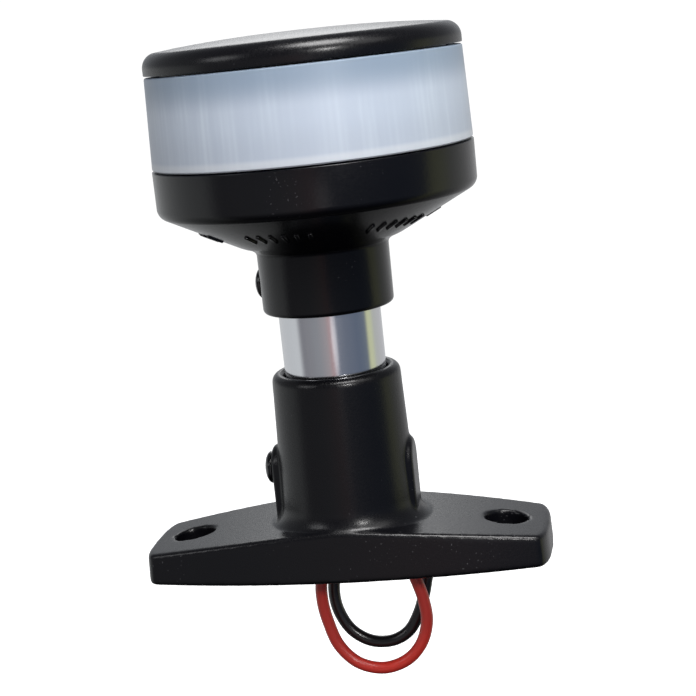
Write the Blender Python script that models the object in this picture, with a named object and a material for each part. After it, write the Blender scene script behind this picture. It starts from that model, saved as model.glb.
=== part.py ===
"""A pole-mounted all-round navigation light for a boat, 100 mm tall, on a boat-shaped deck base.

A clear-height pole of 19 mm aluminium tube stands in the base's socket, held by a clamp screw through
the base's left pad. The lamp head slides over the pole's top end and has a clamp screw of its own, so
it can be turned about the pole. Two leads run down the pole and hang in a loop below the base.
The origin is on the pole's axis in the plane of the base's underside, with +X along the base.
"""

import math

import bmesh
import bpy
from mathutils import Matrix, Vector, geometry

MM = 0.001
GAP = 0.3

# How far a cutter goes past the face that it crosses, and the ends of the longer blanks and cutters
CUT_PAST = 1.0
BLANK_PAST = 4.0
BLANK_HALF_WIDTH = 20.0
POCKET_HALF_WIDTH = 19.0
PLAN_CUT = (-2.0, 60.0)
HOLE_CUT = (-3.0, 20.0)
BASE_SCREW_CUT = (-18.0, -7.0)
POLE_SCREW_CUT = (-12.0, -7.0)
HEAD_SCREW_CUT = (8.0, 14.0)
SPOT_FACE_END = 16.0

# The pole, a 3/4 inch tube
POLE_R = 9.525
POLE_WALL = 1.25
POLE_EASE = 0.3
POLE_BOTTOM = 12.3
POLE_TOP = 63.8
SOCKET_R = 9.75
SOCKET_FLOOR = 12.0
STOP_R = 8.0

# The base, whose plan is centred a little to the left of the pole
BASE_SHIFT = -0.9
BASE_HALF_LENGTH = 38.3
BASE_HALF_WIDTH = 14.85
BASE_DRAFT = 0.045
BASE_TAPER = 0.003
BASE_CORNER_R = 5.5
BASE_END_BULGE = 0.4
BASE_EDGE_R = 0.7
CROWN_HEIGHT = 9.85
CROWN_DROP = 3.0
CROWN_POWER = 1.3
HOLE_X = 30.3
HOLE_R = 4.0
HOLE_COLUMN_R = 6.5
BASE_WALL = 2.3
BASE_PLATE = 2.4
BOSS_TOP = 37.9
BOSS_TOP_R = 12.1
BOSS_ROUND = 1.6
BOSS_FOOT_R = 12.85
BOSS_FOOT = 13.2
BOSS_ROOT = 4.0
FILLET_R = 16.5
FILLET_BOTTOM = 8.2
SOCKET_LIP = 0.7
PAD_FACE_LEFT = 13.75
PAD_FACE_RIGHT = 13.3
PAD_HALF_WIDTH = 4.0
PAD_ROOT_R = 9.9
PAD_ROOT_Z = 6.0
PAD_EDGE_R = 0.7
PAD_ARCH_Z = 19.6
BASE_SCREW_Z = 19.2

# The lamp head
COLLAR_BOTTOM = 49.4
COLLAR_R = 12.2
COLLAR_ROUND = 0.9
CONE_FOOT = ((12.25, 60.5), (12.5, 61.1), (13.4, 61.7), (15.2, 62.35))
BAND_BOTTOM = 69.7
BAND_R = 29.4
BAND_ROUND = 1.5
HOUSING_TOP = 77.7
HOUSING_THROAT = 66.3
HOUSING_BOWL = ((12.0, 66.3), (22.4, 71.3))
LENS_BOTTOM = 78.0
LENS_TOP = 94.5
LENS_BOTTOM_R = 29.3
LENS_TOP_R = 28.75
LENS_BORE_R = 26.6
FLUTES = 72
FLUTE_DEPTH = 0.3
CAP_BOTTOM = 94.8
CAP_R = 28.8
CAP_TOP = 100.0
CAP_SHOULDER = 2.8
CAP_TOP_CURVE = ((0.0, 0.0), (9.0, 0.1), (18.0, 0.5))
CAP_DOME = 1.2
CAP_INSIDE = ((22.5, 96.4), (0.0, 97.6))
LIP_R = 25.9
LIP_BORE_R = 24.2
LIP_HEIGHT = 3.2
SEAL_GROOVE_R = 24.7
SEAL_R = 25.5
SEAL_SECTION_R = 0.5
LOWER_SEAL_Z = 79.2
UPPER_SEAL_Z = 93.0
HEAD_SCREW_Z = 54.5
HEAD_SCREW_TURN = math.radians(168)
SPOT_FACE = 12.0

# The clamp screws, each with a flat washer
SHANK_R = 1.72
SHANK_POINT = 0.5
SCREW_HOLE_R = 1.95
WASHER_R = 3.1
WASHER_THICK = 0.35
SCREW_HEAD_R = 3.05
SCREW_HEAD_HEIGHT = 1.1
SCREW_HEAD_ROUND = 0.9
SCREW_HEAD_RIM = 0.1
RECESS_LENGTH = 3.4
RECESS_WIDTH = 0.75
RECESS_DEPTH = 0.75
AIR = 0.1

# The lamp inside the head
BOARD_R = 23.8
BOARD_BOTTOM = 73.2
BOARD_THICK = 1.6
CORE_FLAT = 10.0
CORE_BORE_R = 6.0
CORE_TOP = 90.3
LED_BOARD_WIDTH = 9.0
LED_BOARD_HEIGHT = 13.0
LED_BOARD_THICK = 1.0
LED_BOARD_Z = 83.1
LED_SIZE = 3.5
LED_THICK = 1.0
LED_Z = 85.9
CHIP_SIZE = (5.0, 4.0, 1.6)
CHIP_SPOT = (13.2, 4.5)
COIL_R = 2.6
COIL_HEIGHT = 2.2
COIL_SPOT = (-13.0, -4.5)
TERMINAL_SIZE = (7.0, 4.4, 2.6)

# The leads
LEAD_R = 1.175
LEAD_OFFSET = 1.6
BUSH_R = 7.7
BUSH_EASE = 0.4
BUSH_BOTTOM = 8.0
BUSH_TOP = 13.5
TIP_R = 0.5
TIP_LENGTH = 5.0
RED_ROUTE = (
    (-1.6, 0.0, 7.6),
    (-1.75, -0.05, 6.2),
    (-3.1, -0.9, 3.6),
    (-5.1, -2.1, 0.6),
    (-6.6, -2.9, -3.0),
    (-6.9, -3.0, -7.1),
    (-6.2, -3.0, -11.6),
    (-4.6, -3.0, -16.4),
    (-1.2, -3.0, -20.1),
    (3.6, -3.0, -21.4),
    (8.2, -3.0, -20.0),
    (11.4, -3.0, -16.7),
    (12.9, -3.0, -12.2),
    (12.6, -3.0, -7.6),
    (11.4, -2.9, -3.2),
    (10.0, -2.0, 0.8),
    (8.0, 0.8, 3.6),
    (5.2, 4.6, 4.8),
    (0.2, 6.7, 5.0),
    (-5.4, 7.3, 4.8),
    (-11.0, 7.2, 4.3),
    (-16.0, 6.6, 3.9),
)
BLACK_ROUTE = (
    (1.6, 0.0, 7.6),
    (1.4, 0.05, 6.2),
    (-0.1, 0.3, 3.2),
    (-2.3, 0.6, 0.5),
    (-4.35, 0.9, -2.4),
    (-5.2, 1.0, -6.6),
    (-4.7, 1.0, -10.8),
    (-2.6, 1.0, -14.8),
    (1.0, 1.0, -17.2),
    (5.2, 1.0, -17.4),
    (8.6, 1.0, -15.6),
    (10.8, 1.0, -12.2),
    (12.3, 1.0, -8.2),
    (13.35, 1.1, -4.2),
    (14.8, 1.6, -0.4),
    (17.2, 1.6, 2.4),
    (20.2, 0.2, 3.5),
    (21.6, -3.2, 3.6),
    (20.2, -6.8, 3.7),
    (16.4, -8.3, 3.9),
    (11.6, -8.8, 4.4),
    (6.4, -9.0, 4.9),
    (1.0, -9.1, 5.1),
    (-4.6, -9.0, 5.1),
    (-10.0, -8.6, 4.7),
)
LEAD_POINTS = 46

# Turned pieces
SMALL_STEPS = 16
HOLE_STEPS = 28
SEAL_STEPS = 32
LARGE_STEPS = 44

BLACK = (0.012, 0.012, 0.014, 1.0)
DARK_RUBBER = (0.02, 0.02, 0.02, 1.0)
ALUMINIUM = (0.72, 0.73, 0.75, 1.0)
FROSTED = (0.62, 0.69, 0.78, 1.0)
BOARD_WHITE = (0.75, 0.77, 0.74, 1.0)
BOARD_GREEN = (0.03, 0.14, 0.07, 1.0)
CHIP = (0.03, 0.03, 0.035, 1.0)
LED_YELLOW = (0.85, 0.72, 0.22, 1.0)
RED = (0.62, 0.035, 0.025, 1.0)
TINNED = (0.62, 0.62, 0.6, 1.0)
STEEL_BLACK = (0.025, 0.025, 0.028, 1.0)


def clear_scene():
    for obj in list(bpy.data.objects):
        bpy.data.objects.remove(obj, do_unlink=True)


def material(name, colour, roughness, metallic=0.0):
    found = bpy.data.materials.get(name)
    if found:
        return found
    made = bpy.data.materials.new(name)
    made.use_nodes = True
    shader = made.node_tree.nodes["Principled BSDF"]
    shader.inputs["Base Color"].default_value = colour
    shader.inputs["Roughness"].default_value = roughness
    shader.inputs["Metallic"].default_value = metallic
    made.diffuse_color = colour
    return made


def link(name, mesh, finish=None, cutter=False):
    """An object of this mesh. A cutter isn't part of the model."""
    obj = bpy.data.objects.new(name, mesh)
    bpy.context.scene.collection.objects.link(obj)
    if finish:
        mesh.materials.append(finish)
    if cutter:
        obj.hide_render = True
        obj.display_type = "WIRE"
    return obj


def finish_mesh(name, bm):
    """The bmesh, drawn in millimetres, as a mesh in metres with its faces pointing out."""
    bmesh.ops.remove_doubles(bm, verts=bm.verts, dist=0.001)
    bmesh.ops.recalc_face_normals(bm, faces=bm.faces)
    bmesh.ops.scale(bm, vec=(MM, MM, MM), verts=bm.verts)
    mesh = bpy.data.meshes.new(name)
    bm.to_mesh(mesh)
    bm.free()
    return mesh


def smooth(obj, angle=35):
    obj.data.shade_smooth()
    obj.data.set_sharp_from_angle(angle=math.radians(angle))
    return obj


def turned(name, profile, finish=None, steps=LARGE_STEPS, cutter=False):
    """A closed profile of (radius, height) points, spun about Z."""
    bm = bmesh.new()
    verts = [bm.verts.new((radius, 0, height)) for radius, height in profile]
    edges = [bm.edges.new(pair) for pair in zip(verts, verts[1:] + verts[:1])]
    on_axis = [edge for edge in edges if all(vert.co.x < 1e-6 for vert in edge.verts)]
    for edge in on_axis:
        edges.remove(edge)
        bm.edges.remove(edge)
    bmesh.ops.spin(
        bm,
        geom=verts + edges,
        cent=(0, 0, 0),
        axis=(0, 0, 1),
        angle=2 * math.pi,
        steps=steps,
        use_merge=True,
    )
    return smooth(link(name, finish_mesh(name, bm), finish, cutter))


def arc(centre, radii, start, end, count):
    """Points on an ellipse's arc, its angles in degrees."""
    points = []
    for step in range(count + 1):
        angle = math.radians(start + (end - start) * step / count)
        points.append((centre[0] + radii[0] * math.cos(angle), centre[1] + radii[1] * math.sin(angle)))
    return points


def prism(
    name, outline, low, high, axis="Z", finish=None, cutter=False, corners=(), corner_r=0.0, narrow=None
):
    """A flat outline extruded from low to high along an axis, with chosen corners rounded.

    narrow holds the far end's scale across the axis, for a shape with draft.
    """
    places = {"Z": lambda u, v: (u, v, low), "Y": lambda u, v: (u, low, v), "X": lambda u, v: (low, u, v)}
    steps = {"Z": (0, 0, high - low), "Y": (0, high - low, 0), "X": (high - low, 0, 0)}
    bm = bmesh.new()
    verts = [bm.verts.new(places[axis](u, v)) for u, v in outline]
    bm.faces.new(verts)
    if corners:
        bmesh.ops.bevel(
            bm, geom=[verts[i] for i in corners], affect="VERTICES", offset=corner_r, segments=6, profile=0.5
        )
    made = bmesh.ops.extrude_face_region(bm, geom=bm.faces[:])
    moved = [item for item in made["geom"] if isinstance(item, bmesh.types.BMVert)]
    bmesh.ops.translate(bm, vec=steps[axis], verts=moved)
    if narrow:
        bmesh.ops.scale(bm, vec=narrow, verts=moved)
    return link(name, finish_mesh(name, bm), finish, cutter)


def box(name, centre, size, finish=None, cutter=False, turn=0.0):
    """A box turned about Z through the origin after it is placed."""
    bm = bmesh.new()
    place = Matrix.Rotation(turn, 4, "Z") @ Matrix.Translation(centre) @ Matrix.Diagonal((*size, 1))
    bmesh.ops.create_cube(bm, size=1.0, matrix=place)
    return link(name, finish_mesh(name, bm), finish, cutter)


def rod(name, start, end, radius, finish=None, cutter=False, steps=SMALL_STEPS):
    """A cylinder between two points."""
    along = Vector(end) - Vector(start)
    turn = along.to_track_quat("Z", "Y").to_matrix().to_4x4()
    place = Matrix.Translation((Vector(start) + Vector(end)) / 2) @ turn
    bm = bmesh.new()
    bmesh.ops.create_cone(
        bm, cap_ends=True, segments=steps, radius1=radius, radius2=radius, depth=along.length, matrix=place
    )
    return smooth(link(name, finish_mesh(name, bm), finish, cutter))


def boolean(obj, other, operation="DIFFERENCE"):
    modifier = obj.modifiers.new(f"{operation.title()} {other.name}", "BOOLEAN")
    modifier.operation = operation
    modifier.object = other
    modifier.solver = "EXACT"


def crown(x):
    """The height of the base's top face, which falls away towards both ends."""
    return CROWN_HEIGHT - CROWN_DROP * (abs(x - BASE_SHIFT) / HOLE_X) ** CROWN_POWER


def base_outline(inset, count=14):
    """The boat-shaped plan, counter-clockwise, and the places of its four corners in the list."""
    half = BASE_HALF_LENGTH - inset
    front = []
    for step in range(count + 1):
        x = half * (2 * step / count - 1)
        front.append((x, -(BASE_HALF_WIDTH - BASE_TAPER * x * x - inset)))
    back = [(-x, -y) for x, y in front]
    right_end = [(half + BASE_END_BULGE, 0.0)]
    left_end = [(-half - BASE_END_BULGE, 0.0)]
    points = [(x + BASE_SHIFT, y) for x, y in front + right_end + back + left_end]
    corners = (0, count, count + 2, 2 * count + 2)
    return points, corners


def crown_profile(drop, low, count=16):
    """The base seen from the front: the crowned top, lowered by drop, over a flat bottom."""
    reach = BASE_HALF_LENGTH + BLANK_PAST
    points = [(-reach, low), (reach, low)]
    for step in range(count + 1):
        x = reach * (1 - 2 * step / count)
        points.append((x, crown(x) - drop))
    return points


def pad(name, side, face):
    """A tombstone-shaped pad on one side of the boss, with a softened face edge."""
    arch = arc((0, PAD_ARCH_Z), (PAD_HALF_WIDTH, PAD_HALF_WIDTH), 0, 180, 10)
    outline = [(-PAD_HALF_WIDTH, PAD_ROOT_Z), (PAD_HALF_WIDTH, PAD_ROOT_Z)] + arch
    obj = prism(name, outline, PAD_ROOT_R * side, face * side, "X", cutter=True)
    soften = obj.modifiers.new("Soften", "BEVEL")
    soften.width = PAD_EDGE_R * MM
    soften.segments = 2
    soften.limit_method = "ANGLE"
    soften.angle_limit = math.radians(60)
    return obj


def base_screw_cutter(name, start, end):
    """A stretch of the base's clamp screw hole, between two places along X."""
    return rod(name, (start, 0, BASE_SCREW_Z), (end, 0, BASE_SCREW_Z), SCREW_HOLE_R, None, True)


def make_base():
    finish = material("base_black", BLACK, 0.42)
    outline, corners = base_outline(0.0)
    base = prism("base", crown_profile(0.0, 0.0), -BLANK_HALF_WIDTH, BLANK_HALF_WIDTH, "Y", finish)
    wall = arc((BOSS_TOP_R - BOSS_ROUND, BOSS_TOP - BOSS_ROUND), (BOSS_ROUND, BOSS_ROUND), 90, 0, 4)
    fillet = arc((FILLET_R, BOSS_FOOT), (FILLET_R - BOSS_FOOT_R, BOSS_FOOT - FILLET_BOTTOM), 180, 270, 7)
    boss_profile = [(0, BOSS_TOP)] + wall + fillet + [(FILLET_R, BOSS_ROOT), (0, BOSS_ROOT)]
    boss = turned("boss", boss_profile, cutter=True)
    draft = BASE_DRAFT * BOSS_TOP
    narrow = (1 - draft / BASE_HALF_LENGTH, 1 - draft / BASE_HALF_WIDTH, 1)
    plan = prism("plan", outline, -AIR, BOSS_TOP, "Z", None, True, corners, BASE_CORNER_R, narrow)
    boolean(base, boss, "UNION")
    boolean(base, plan, "INTERSECT")
    weld = base.modifiers.new("Weld", "WELD")
    weld.merge_threshold = 0.05 * MM
    edge = base.modifiers.new("Edge", "BEVEL")
    edge.width = BASE_EDGE_R * MM
    edge.segments = 2
    edge.use_clamp_overlap = False
    edge.limit_method = "ANGLE"
    edge.angle_limit = math.radians(62)
    boolean(base, pad("pad_left", -1, PAD_FACE_LEFT), "UNION")
    boolean(base, pad("pad_right", 1, PAD_FACE_RIGHT), "UNION")
    inner, inner_corners = base_outline(BASE_WALL)
    sides = (-POCKET_HALF_WIDTH, POCKET_HALF_WIDTH)
    pocket = prism("pocket", crown_profile(BASE_PLATE, -CUT_PAST), *sides, "Y", cutter=True)
    inner_r = BASE_CORNER_R - BASE_WALL
    pocket_plan = prism("pocket_plan", inner, *PLAN_CUT, "Z", None, True, inner_corners, inner_r)
    boolean(pocket, pocket_plan, "INTERSECT")
    for side in (-1, 1):
        ends = [(BASE_SHIFT + side * HOLE_X, 0, z) for z in HOLE_CUT]
        column = rod(f"column_{side:+d}", *ends, HOLE_COLUMN_R, None, True, HOLE_STEPS)
        boolean(pocket, column)
    boolean(base, pocket)
    for side in (-1, 1):
        ends = [(BASE_SHIFT + side * HOLE_X, 0, z) for z in HOLE_CUT]
        hole = rod(f"hole_{side:+d}", *ends, HOLE_R, None, True, HOLE_STEPS)
        boolean(base, hole)
    mouth = SOCKET_R + SOCKET_LIP
    bore = [(0, BOSS_TOP + CUT_PAST), (mouth, BOSS_TOP + CUT_PAST), (mouth, BOSS_TOP)]
    bore += [(SOCKET_R, BOSS_TOP - SOCKET_LIP), (SOCKET_R, SOCKET_FLOOR), (STOP_R, SOCKET_FLOOR)]
    bore += [(STOP_R, BOSS_ROOT - CUT_PAST), (0, BOSS_ROOT - CUT_PAST)]
    boolean(base, turned("socket", bore, cutter=True))
    boolean(base, base_screw_cutter("screw_hole", *BASE_SCREW_CUT))
    return base


def make_pole():
    inside = POLE_R - POLE_WALL
    profile = [
        (inside, POLE_TOP),
        (POLE_R - POLE_EASE, POLE_TOP),
        (POLE_R, POLE_TOP - POLE_EASE),
        (POLE_R, POLE_BOTTOM + POLE_EASE),
        (POLE_R - POLE_EASE, POLE_BOTTOM),
        (inside, POLE_BOTTOM),
    ]
    pole = turned("pole_tube", profile, material("pole_aluminium", ALUMINIUM, 0.22, 1.0))
    boolean(pole, base_screw_cutter("pole_dimple", *POLE_SCREW_CUT))
    return pole


def make_housing():
    finish = material("housing_black", BLACK, 0.38)
    groove_low = LOWER_SEAL_Z - SEAL_SECTION_R - GAP
    groove_high = LOWER_SEAL_Z + SEAL_SECTION_R + GAP
    lip_top = LENS_BOTTOM + LIP_HEIGHT
    shelf = BOARD_BOTTOM - GAP
    profile = [(LIP_R, HOUSING_TOP), (BAND_R, HOUSING_TOP)]
    profile += arc((BAND_R - BAND_ROUND, BAND_BOTTOM + BAND_ROUND), (BAND_ROUND, BAND_ROUND), 0, -68, 4)
    profile += CONE_FOOT[::-1]
    collar_centre = (COLLAR_R - COLLAR_ROUND, COLLAR_BOTTOM + COLLAR_ROUND)
    profile += arc(collar_centre, (COLLAR_ROUND, COLLAR_ROUND), 0, -90, 4)
    profile += [(SOCKET_R, COLLAR_BOTTOM), (SOCKET_R, POLE_TOP + GAP), (STOP_R, POLE_TOP + GAP)]
    profile += [(STOP_R, HOUSING_THROAT), *HOUSING_BOWL, (HOUSING_BOWL[1][0], shelf), (LIP_BORE_R, shelf)]
    profile += [(LIP_BORE_R, lip_top), (LIP_R, lip_top), (LIP_R, groove_high), (SEAL_GROOVE_R, groove_high)]
    profile += [(SEAL_GROOVE_R, groove_low), (LIP_R, groove_low)]
    housing = turned("head_housing", profile, finish)
    out = Vector((math.cos(HEAD_SCREW_TURN), math.sin(HEAD_SCREW_TURN), 0))
    up = Vector((0, 0, HEAD_SCREW_Z))
    face = rod("spot_face", out * SPOT_FACE + up, out * SPOT_FACE_END + up, WASHER_R + GAP, None, True, 20)
    ends = [out * reach + up for reach in HEAD_SCREW_CUT]
    hole = rod("head_screw_hole", *ends, SCREW_HOLE_R, None, True)
    boolean(housing, face)
    boolean(housing, hole)
    return housing


def make_lens():
    """A slightly tapered ring, plain outside, with upright flutes inside."""
    bm = bmesh.new()
    rings = []
    for radius, height, fluted in (
        (LENS_BOTTOM_R, LENS_BOTTOM, False),
        (LENS_TOP_R, LENS_TOP, False),
        (LENS_BORE_R, LENS_TOP, True),
        (LENS_BORE_R, LENS_BOTTOM, True),
    ):
        ring = []
        for step in range(2 * FLUTES):
            angle = math.pi * step / FLUTES
            wave = FLUTE_DEPTH * (step % 2) if fluted else 0.0
            at = (radius + wave) * Vector((math.cos(angle), math.sin(angle)))
            ring.append(bm.verts.new((at.x, at.y, height)))
        rings.append([bm.edges.new(pair) for pair in zip(ring, ring[1:] + ring[:1])])
    for one, other in zip(rings, rings[1:] + rings[:1]):
        bmesh.ops.bridge_loops(bm, edges=one + other)
    return smooth(link("lens", finish_mesh("lens", bm), material("lens_frosted", FROSTED, 0.45)), 25)


def make_cap():
    shoulder_z = CAP_TOP - CAP_DOME - CAP_SHOULDER
    groove_low = UPPER_SEAL_Z - SEAL_SECTION_R - GAP
    groove_high = UPPER_SEAL_Z + SEAL_SECTION_R + GAP
    lip_low = LENS_TOP - LIP_HEIGHT
    profile = [(radius, CAP_TOP - drop) for radius, drop in CAP_TOP_CURVE]
    profile += arc((CAP_R - CAP_SHOULDER, shoulder_z), (CAP_SHOULDER, CAP_SHOULDER), 80, 0, 6)
    profile += [(CAP_R, CAP_BOTTOM), (LIP_R, CAP_BOTTOM), (LIP_R, groove_high), (SEAL_GROOVE_R, groove_high)]
    profile += [(SEAL_GROOVE_R, groove_low), (LIP_R, groove_low), (LIP_R, lip_low), (LIP_BORE_R, lip_low)]
    profile += [(LIP_BORE_R, CAP_BOTTOM), *CAP_INSIDE]
    return turned("top_cap", profile, material("cap_black", BLACK, 0.36))


def make_seal(name, height):
    section = arc((SEAL_R, height), (SEAL_SECTION_R, SEAL_SECTION_R), 0, 315, 7)
    return turned(name, section, material("seal_rubber", DARK_RUBBER, 0.8), SEAL_STEPS)


def make_lamp():
    """The driver board with what it carries, and the six-sided core with an LED on each side."""
    board_top = BOARD_BOTTOM + BOARD_THICK
    outline = [(0, board_top), (BOARD_R, board_top), (BOARD_R, BOARD_BOTTOM), (0, BOARD_BOTTOM)]
    turned("driver_board", outline, material("board_green", BOARD_GREEN, 0.5), SEAL_STEPS)
    under = BOARD_BOTTOM - GAP
    chip = material("chip_black", CHIP, 0.45)
    box("driver_chip", (*CHIP_SPOT, under - CHIP_SIZE[2] / 2), CHIP_SIZE, chip)
    rod("driver_coil", (*COIL_SPOT, under - COIL_HEIGHT), (*COIL_SPOT, under), COIL_R, chip)
    terminal = material("terminal_white", BOARD_WHITE, 0.55)
    box("lead_terminal", (0, 0, under - TERMINAL_SIZE[2] / 2), TERMINAL_SIZE, terminal)
    bottom = board_top + GAP
    corner = CORE_FLAT / math.cos(math.pi / 6)
    outline = [(corner * math.cos(math.pi * k / 3), corner * math.sin(math.pi * k / 3)) for k in range(6)]
    metal = material("core_aluminium", ALUMINIUM, 0.35, 1.0)
    core = prism("led_core", outline, bottom, CORE_TOP, finish=metal)
    bore_ends = ((0, 0, bottom - CUT_PAST), (0, 0, CORE_TOP + CUT_PAST))
    boolean(core, rod("core_bore", *bore_ends, CORE_BORE_R, None, True, 20))
    board = material("led_board_white", BOARD_WHITE, 0.5)
    led = material("led_yellow", LED_YELLOW, 0.3)
    board_x = CORE_FLAT + GAP + LED_BOARD_THICK / 2
    led_x = board_x + LED_BOARD_THICK / 2 + GAP + LED_THICK / 2
    board_size = (LED_BOARD_THICK, LED_BOARD_WIDTH, LED_BOARD_HEIGHT)
    for k in range(6):
        turn = math.pi * (2 * k + 1) / 6
        box(f"led_board_{k + 1}", (board_x, 0, LED_BOARD_Z), board_size, board, turn=turn)
        box(f"led_{k + 1}", (led_x, 0, LED_Z), (LED_THICK, LED_SIZE, LED_SIZE), led, turn=turn)


def make_clamp(prefix, turn, height, face):
    """A washer and a pan-head screw with a cross recess, pointing at the pole from outside."""
    steel = material("screw_steel", STEEL_BLACK, 0.3, 0.8)
    place = Matrix.Translation((0, 0, height * MM)) @ Matrix.Rotation(turn, 4, "Z")
    place = place @ Matrix.Rotation(math.pi / 2, 4, "Y")
    washer_low = face + GAP / 2
    washer_high = washer_low + WASHER_THICK
    profile = [(SCREW_HOLE_R, washer_high), (WASHER_R, washer_high), (WASHER_R, washer_low)]
    profile += [(SCREW_HOLE_R, washer_low)]
    washer = turned(f"{prefix}_clamp_washer", profile, steel, 24)
    seat = washer_high + AIR
    top = seat + SCREW_HEAD_HEIGHT
    tip = POLE_R + GAP
    profile = [(0, top), (SCREW_HEAD_R / 2, top - AIR)]
    rim = (SCREW_HEAD_R - SCREW_HEAD_ROUND, seat + SCREW_HEAD_RIM)
    profile += arc(rim, (SCREW_HEAD_ROUND, SCREW_HEAD_ROUND), 72, 0, 4)
    profile += [(SCREW_HEAD_R, seat), (SHANK_R, seat), (SHANK_R, tip + SHANK_POINT)]
    profile += [(SHANK_R - SHANK_POINT, tip)]
    profile += [(0, tip)]
    screw = turned(f"{prefix}_clamp_screw", profile, steel, 24)
    for name, size in (("tall", (RECESS_LENGTH, RECESS_WIDTH)), ("wide", (RECESS_WIDTH, RECESS_LENGTH))):
        cutter = box(f"{prefix}_recess_{name}", (0, 0, top), (*size, 2 * RECESS_DEPTH), None, True)
        cutter.matrix_world = place
        boolean(screw, cutter)
    for piece in (washer, screw):
        piece.matrix_world = place
    return screw


def smooth_route(route, count):
    """Evenly many points on a smooth curve through the route's own points."""
    points = [Vector(point) for point in route]
    dense = []
    for i in range(len(points) - 1):
        before = points[max(i - 1, 0)]
        after = points[min(i + 2, len(points) - 1)]
        start, end = points[i], points[i + 1]
        hand_in = start + (end - before) / 6
        hand_out = end - (after - start) / 6
        dense += geometry.interpolate_bezier(start, hand_in, hand_out, end, 17)[:-1]
    dense.append(points[-1])
    lengths = [0.0]
    for one, other in zip(dense, dense[1:]):
        lengths.append(lengths[-1] + (other - one).length)
    chosen = []
    place = 0
    for step in range(count):
        target = lengths[-1] * step / (count - 1)
        while place < len(dense) - 2 and lengths[place + 1] < target:
            place += 1
        share = (target - lengths[place]) / (lengths[place + 1] - lengths[place])
        chosen.append(dense[place].lerp(dense[place + 1], share))
    return chosen


def lead(name, points, radius, finish):
    curve = bpy.data.curves.new(name, "CURVE")
    curve.dimensions = "3D"
    curve.bevel_depth = radius * MM
    curve.bevel_resolution = 2
    curve.use_fill_caps = True
    spline = curve.splines.new("POLY")
    spline.points.add(len(points) - 1)
    for spot, point in zip(spline.points, points):
        spot.co = (point[0] * MM, point[1] * MM, point[2] * MM, 1)
    obj = bpy.data.objects.new(name, curve)
    bpy.context.scene.collection.objects.link(obj)
    curve.materials.append(finish)
    return obj


def make_leads():
    turned(
        "lead_bush",
        [
            (0, BUSH_TOP),
            (BUSH_R - BUSH_EASE, BUSH_TOP),
            (BUSH_R, BUSH_TOP - BUSH_EASE),
            (BUSH_R, BUSH_BOTTOM),
            (0, BUSH_BOTTOM),
        ],
        material("bush_rubber", DARK_RUBBER, 0.85),
        SEAL_STEPS,
    )
    tin = material("tinned_copper", TINNED, 0.3, 1.0)
    for colour, finish, side, route in (
        ("red", material("lead_red", RED, 0.4), -1, RED_ROUTE),
        ("black", material("lead_black", BLACK, 0.4), 1, BLACK_ROUTE),
    ):
        x = side * LEAD_OFFSET
        top = BOARD_BOTTOM - TERMINAL_SIZE[2] - 2 * GAP
        rise = [(x, 0, BUSH_TOP + GAP), (x, 0, (BUSH_TOP + top) / 2), (x, 0, top)]
        lead(f"{colour}_lead_inner", rise, LEAD_R, finish)
        points = smooth_route(route, LEAD_POINTS)
        lead(f"{colour}_lead", points, LEAD_R, finish)
        onward = (points[-1] - points[-2]).normalized()
        start = points[-1] + onward * GAP
        rod(f"{colour}_lead_tip", start, start + onward * TIP_LENGTH, TIP_R, tin, steps=10)


def main():
    clear_scene()
    make_base()
    make_pole()
    make_housing()
    make_lens()
    make_cap()
    make_seal("lens_seal", LOWER_SEAL_Z)
    make_seal("cap_seal", UPPER_SEAL_Z)
    make_lamp()
    make_clamp("base", math.pi, BASE_SCREW_Z, PAD_FACE_LEFT)
    make_clamp("head", HEAD_SCREW_TURN, HEAD_SCREW_Z, SPOT_FACE)
    make_leads()


main()
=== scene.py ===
"""Looks for a pole-mounted all-round navigation light, laid out as a Blender add-on and run as a script."""

import math

import bmesh
import bpy
from mathutils import Matrix, Vector


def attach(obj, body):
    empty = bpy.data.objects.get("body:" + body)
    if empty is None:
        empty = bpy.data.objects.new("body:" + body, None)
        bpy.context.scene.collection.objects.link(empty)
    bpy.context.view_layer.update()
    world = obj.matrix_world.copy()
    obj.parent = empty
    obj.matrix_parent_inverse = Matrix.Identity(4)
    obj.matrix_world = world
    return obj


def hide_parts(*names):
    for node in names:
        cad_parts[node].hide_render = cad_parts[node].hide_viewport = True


bl_info = {
    "name": "Navigation light",
    "version": (1, 0, 0),
    "blender": (4, 5, 0),
    "location": "View3D > Sidebar > Nav light",
    "description": "Builds the finished surfaces of a pole-mounted all-round navigation light",
    "category": "Object",
}

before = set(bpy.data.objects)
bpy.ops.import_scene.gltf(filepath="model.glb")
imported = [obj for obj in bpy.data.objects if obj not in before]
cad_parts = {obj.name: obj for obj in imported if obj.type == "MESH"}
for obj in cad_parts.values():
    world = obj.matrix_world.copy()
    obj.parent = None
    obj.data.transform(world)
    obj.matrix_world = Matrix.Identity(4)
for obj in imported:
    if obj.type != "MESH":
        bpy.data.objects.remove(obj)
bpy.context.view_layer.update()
MM = 0.001
GAP = 0.3 * MM

# The camera stands off this target, and is then turned a little from looking straight at it
CAMERA_TARGET = (0, 0, 0.060)
CAMERA_DISTANCE = 0.305647
CAMERA_AZIMUTH = math.radians(10.413)
CAMERA_ELEVATION = math.radians(7.471)
CAMERA_PAN = math.radians(-1.123)
CAMERA_TILT = math.radians(4.983)
CAMERA_ROLL = math.radians(6.277)
CAMERA_LENS = 85.27
CAMERA_SHIFT = (0.0599, 0.0695)

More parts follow.
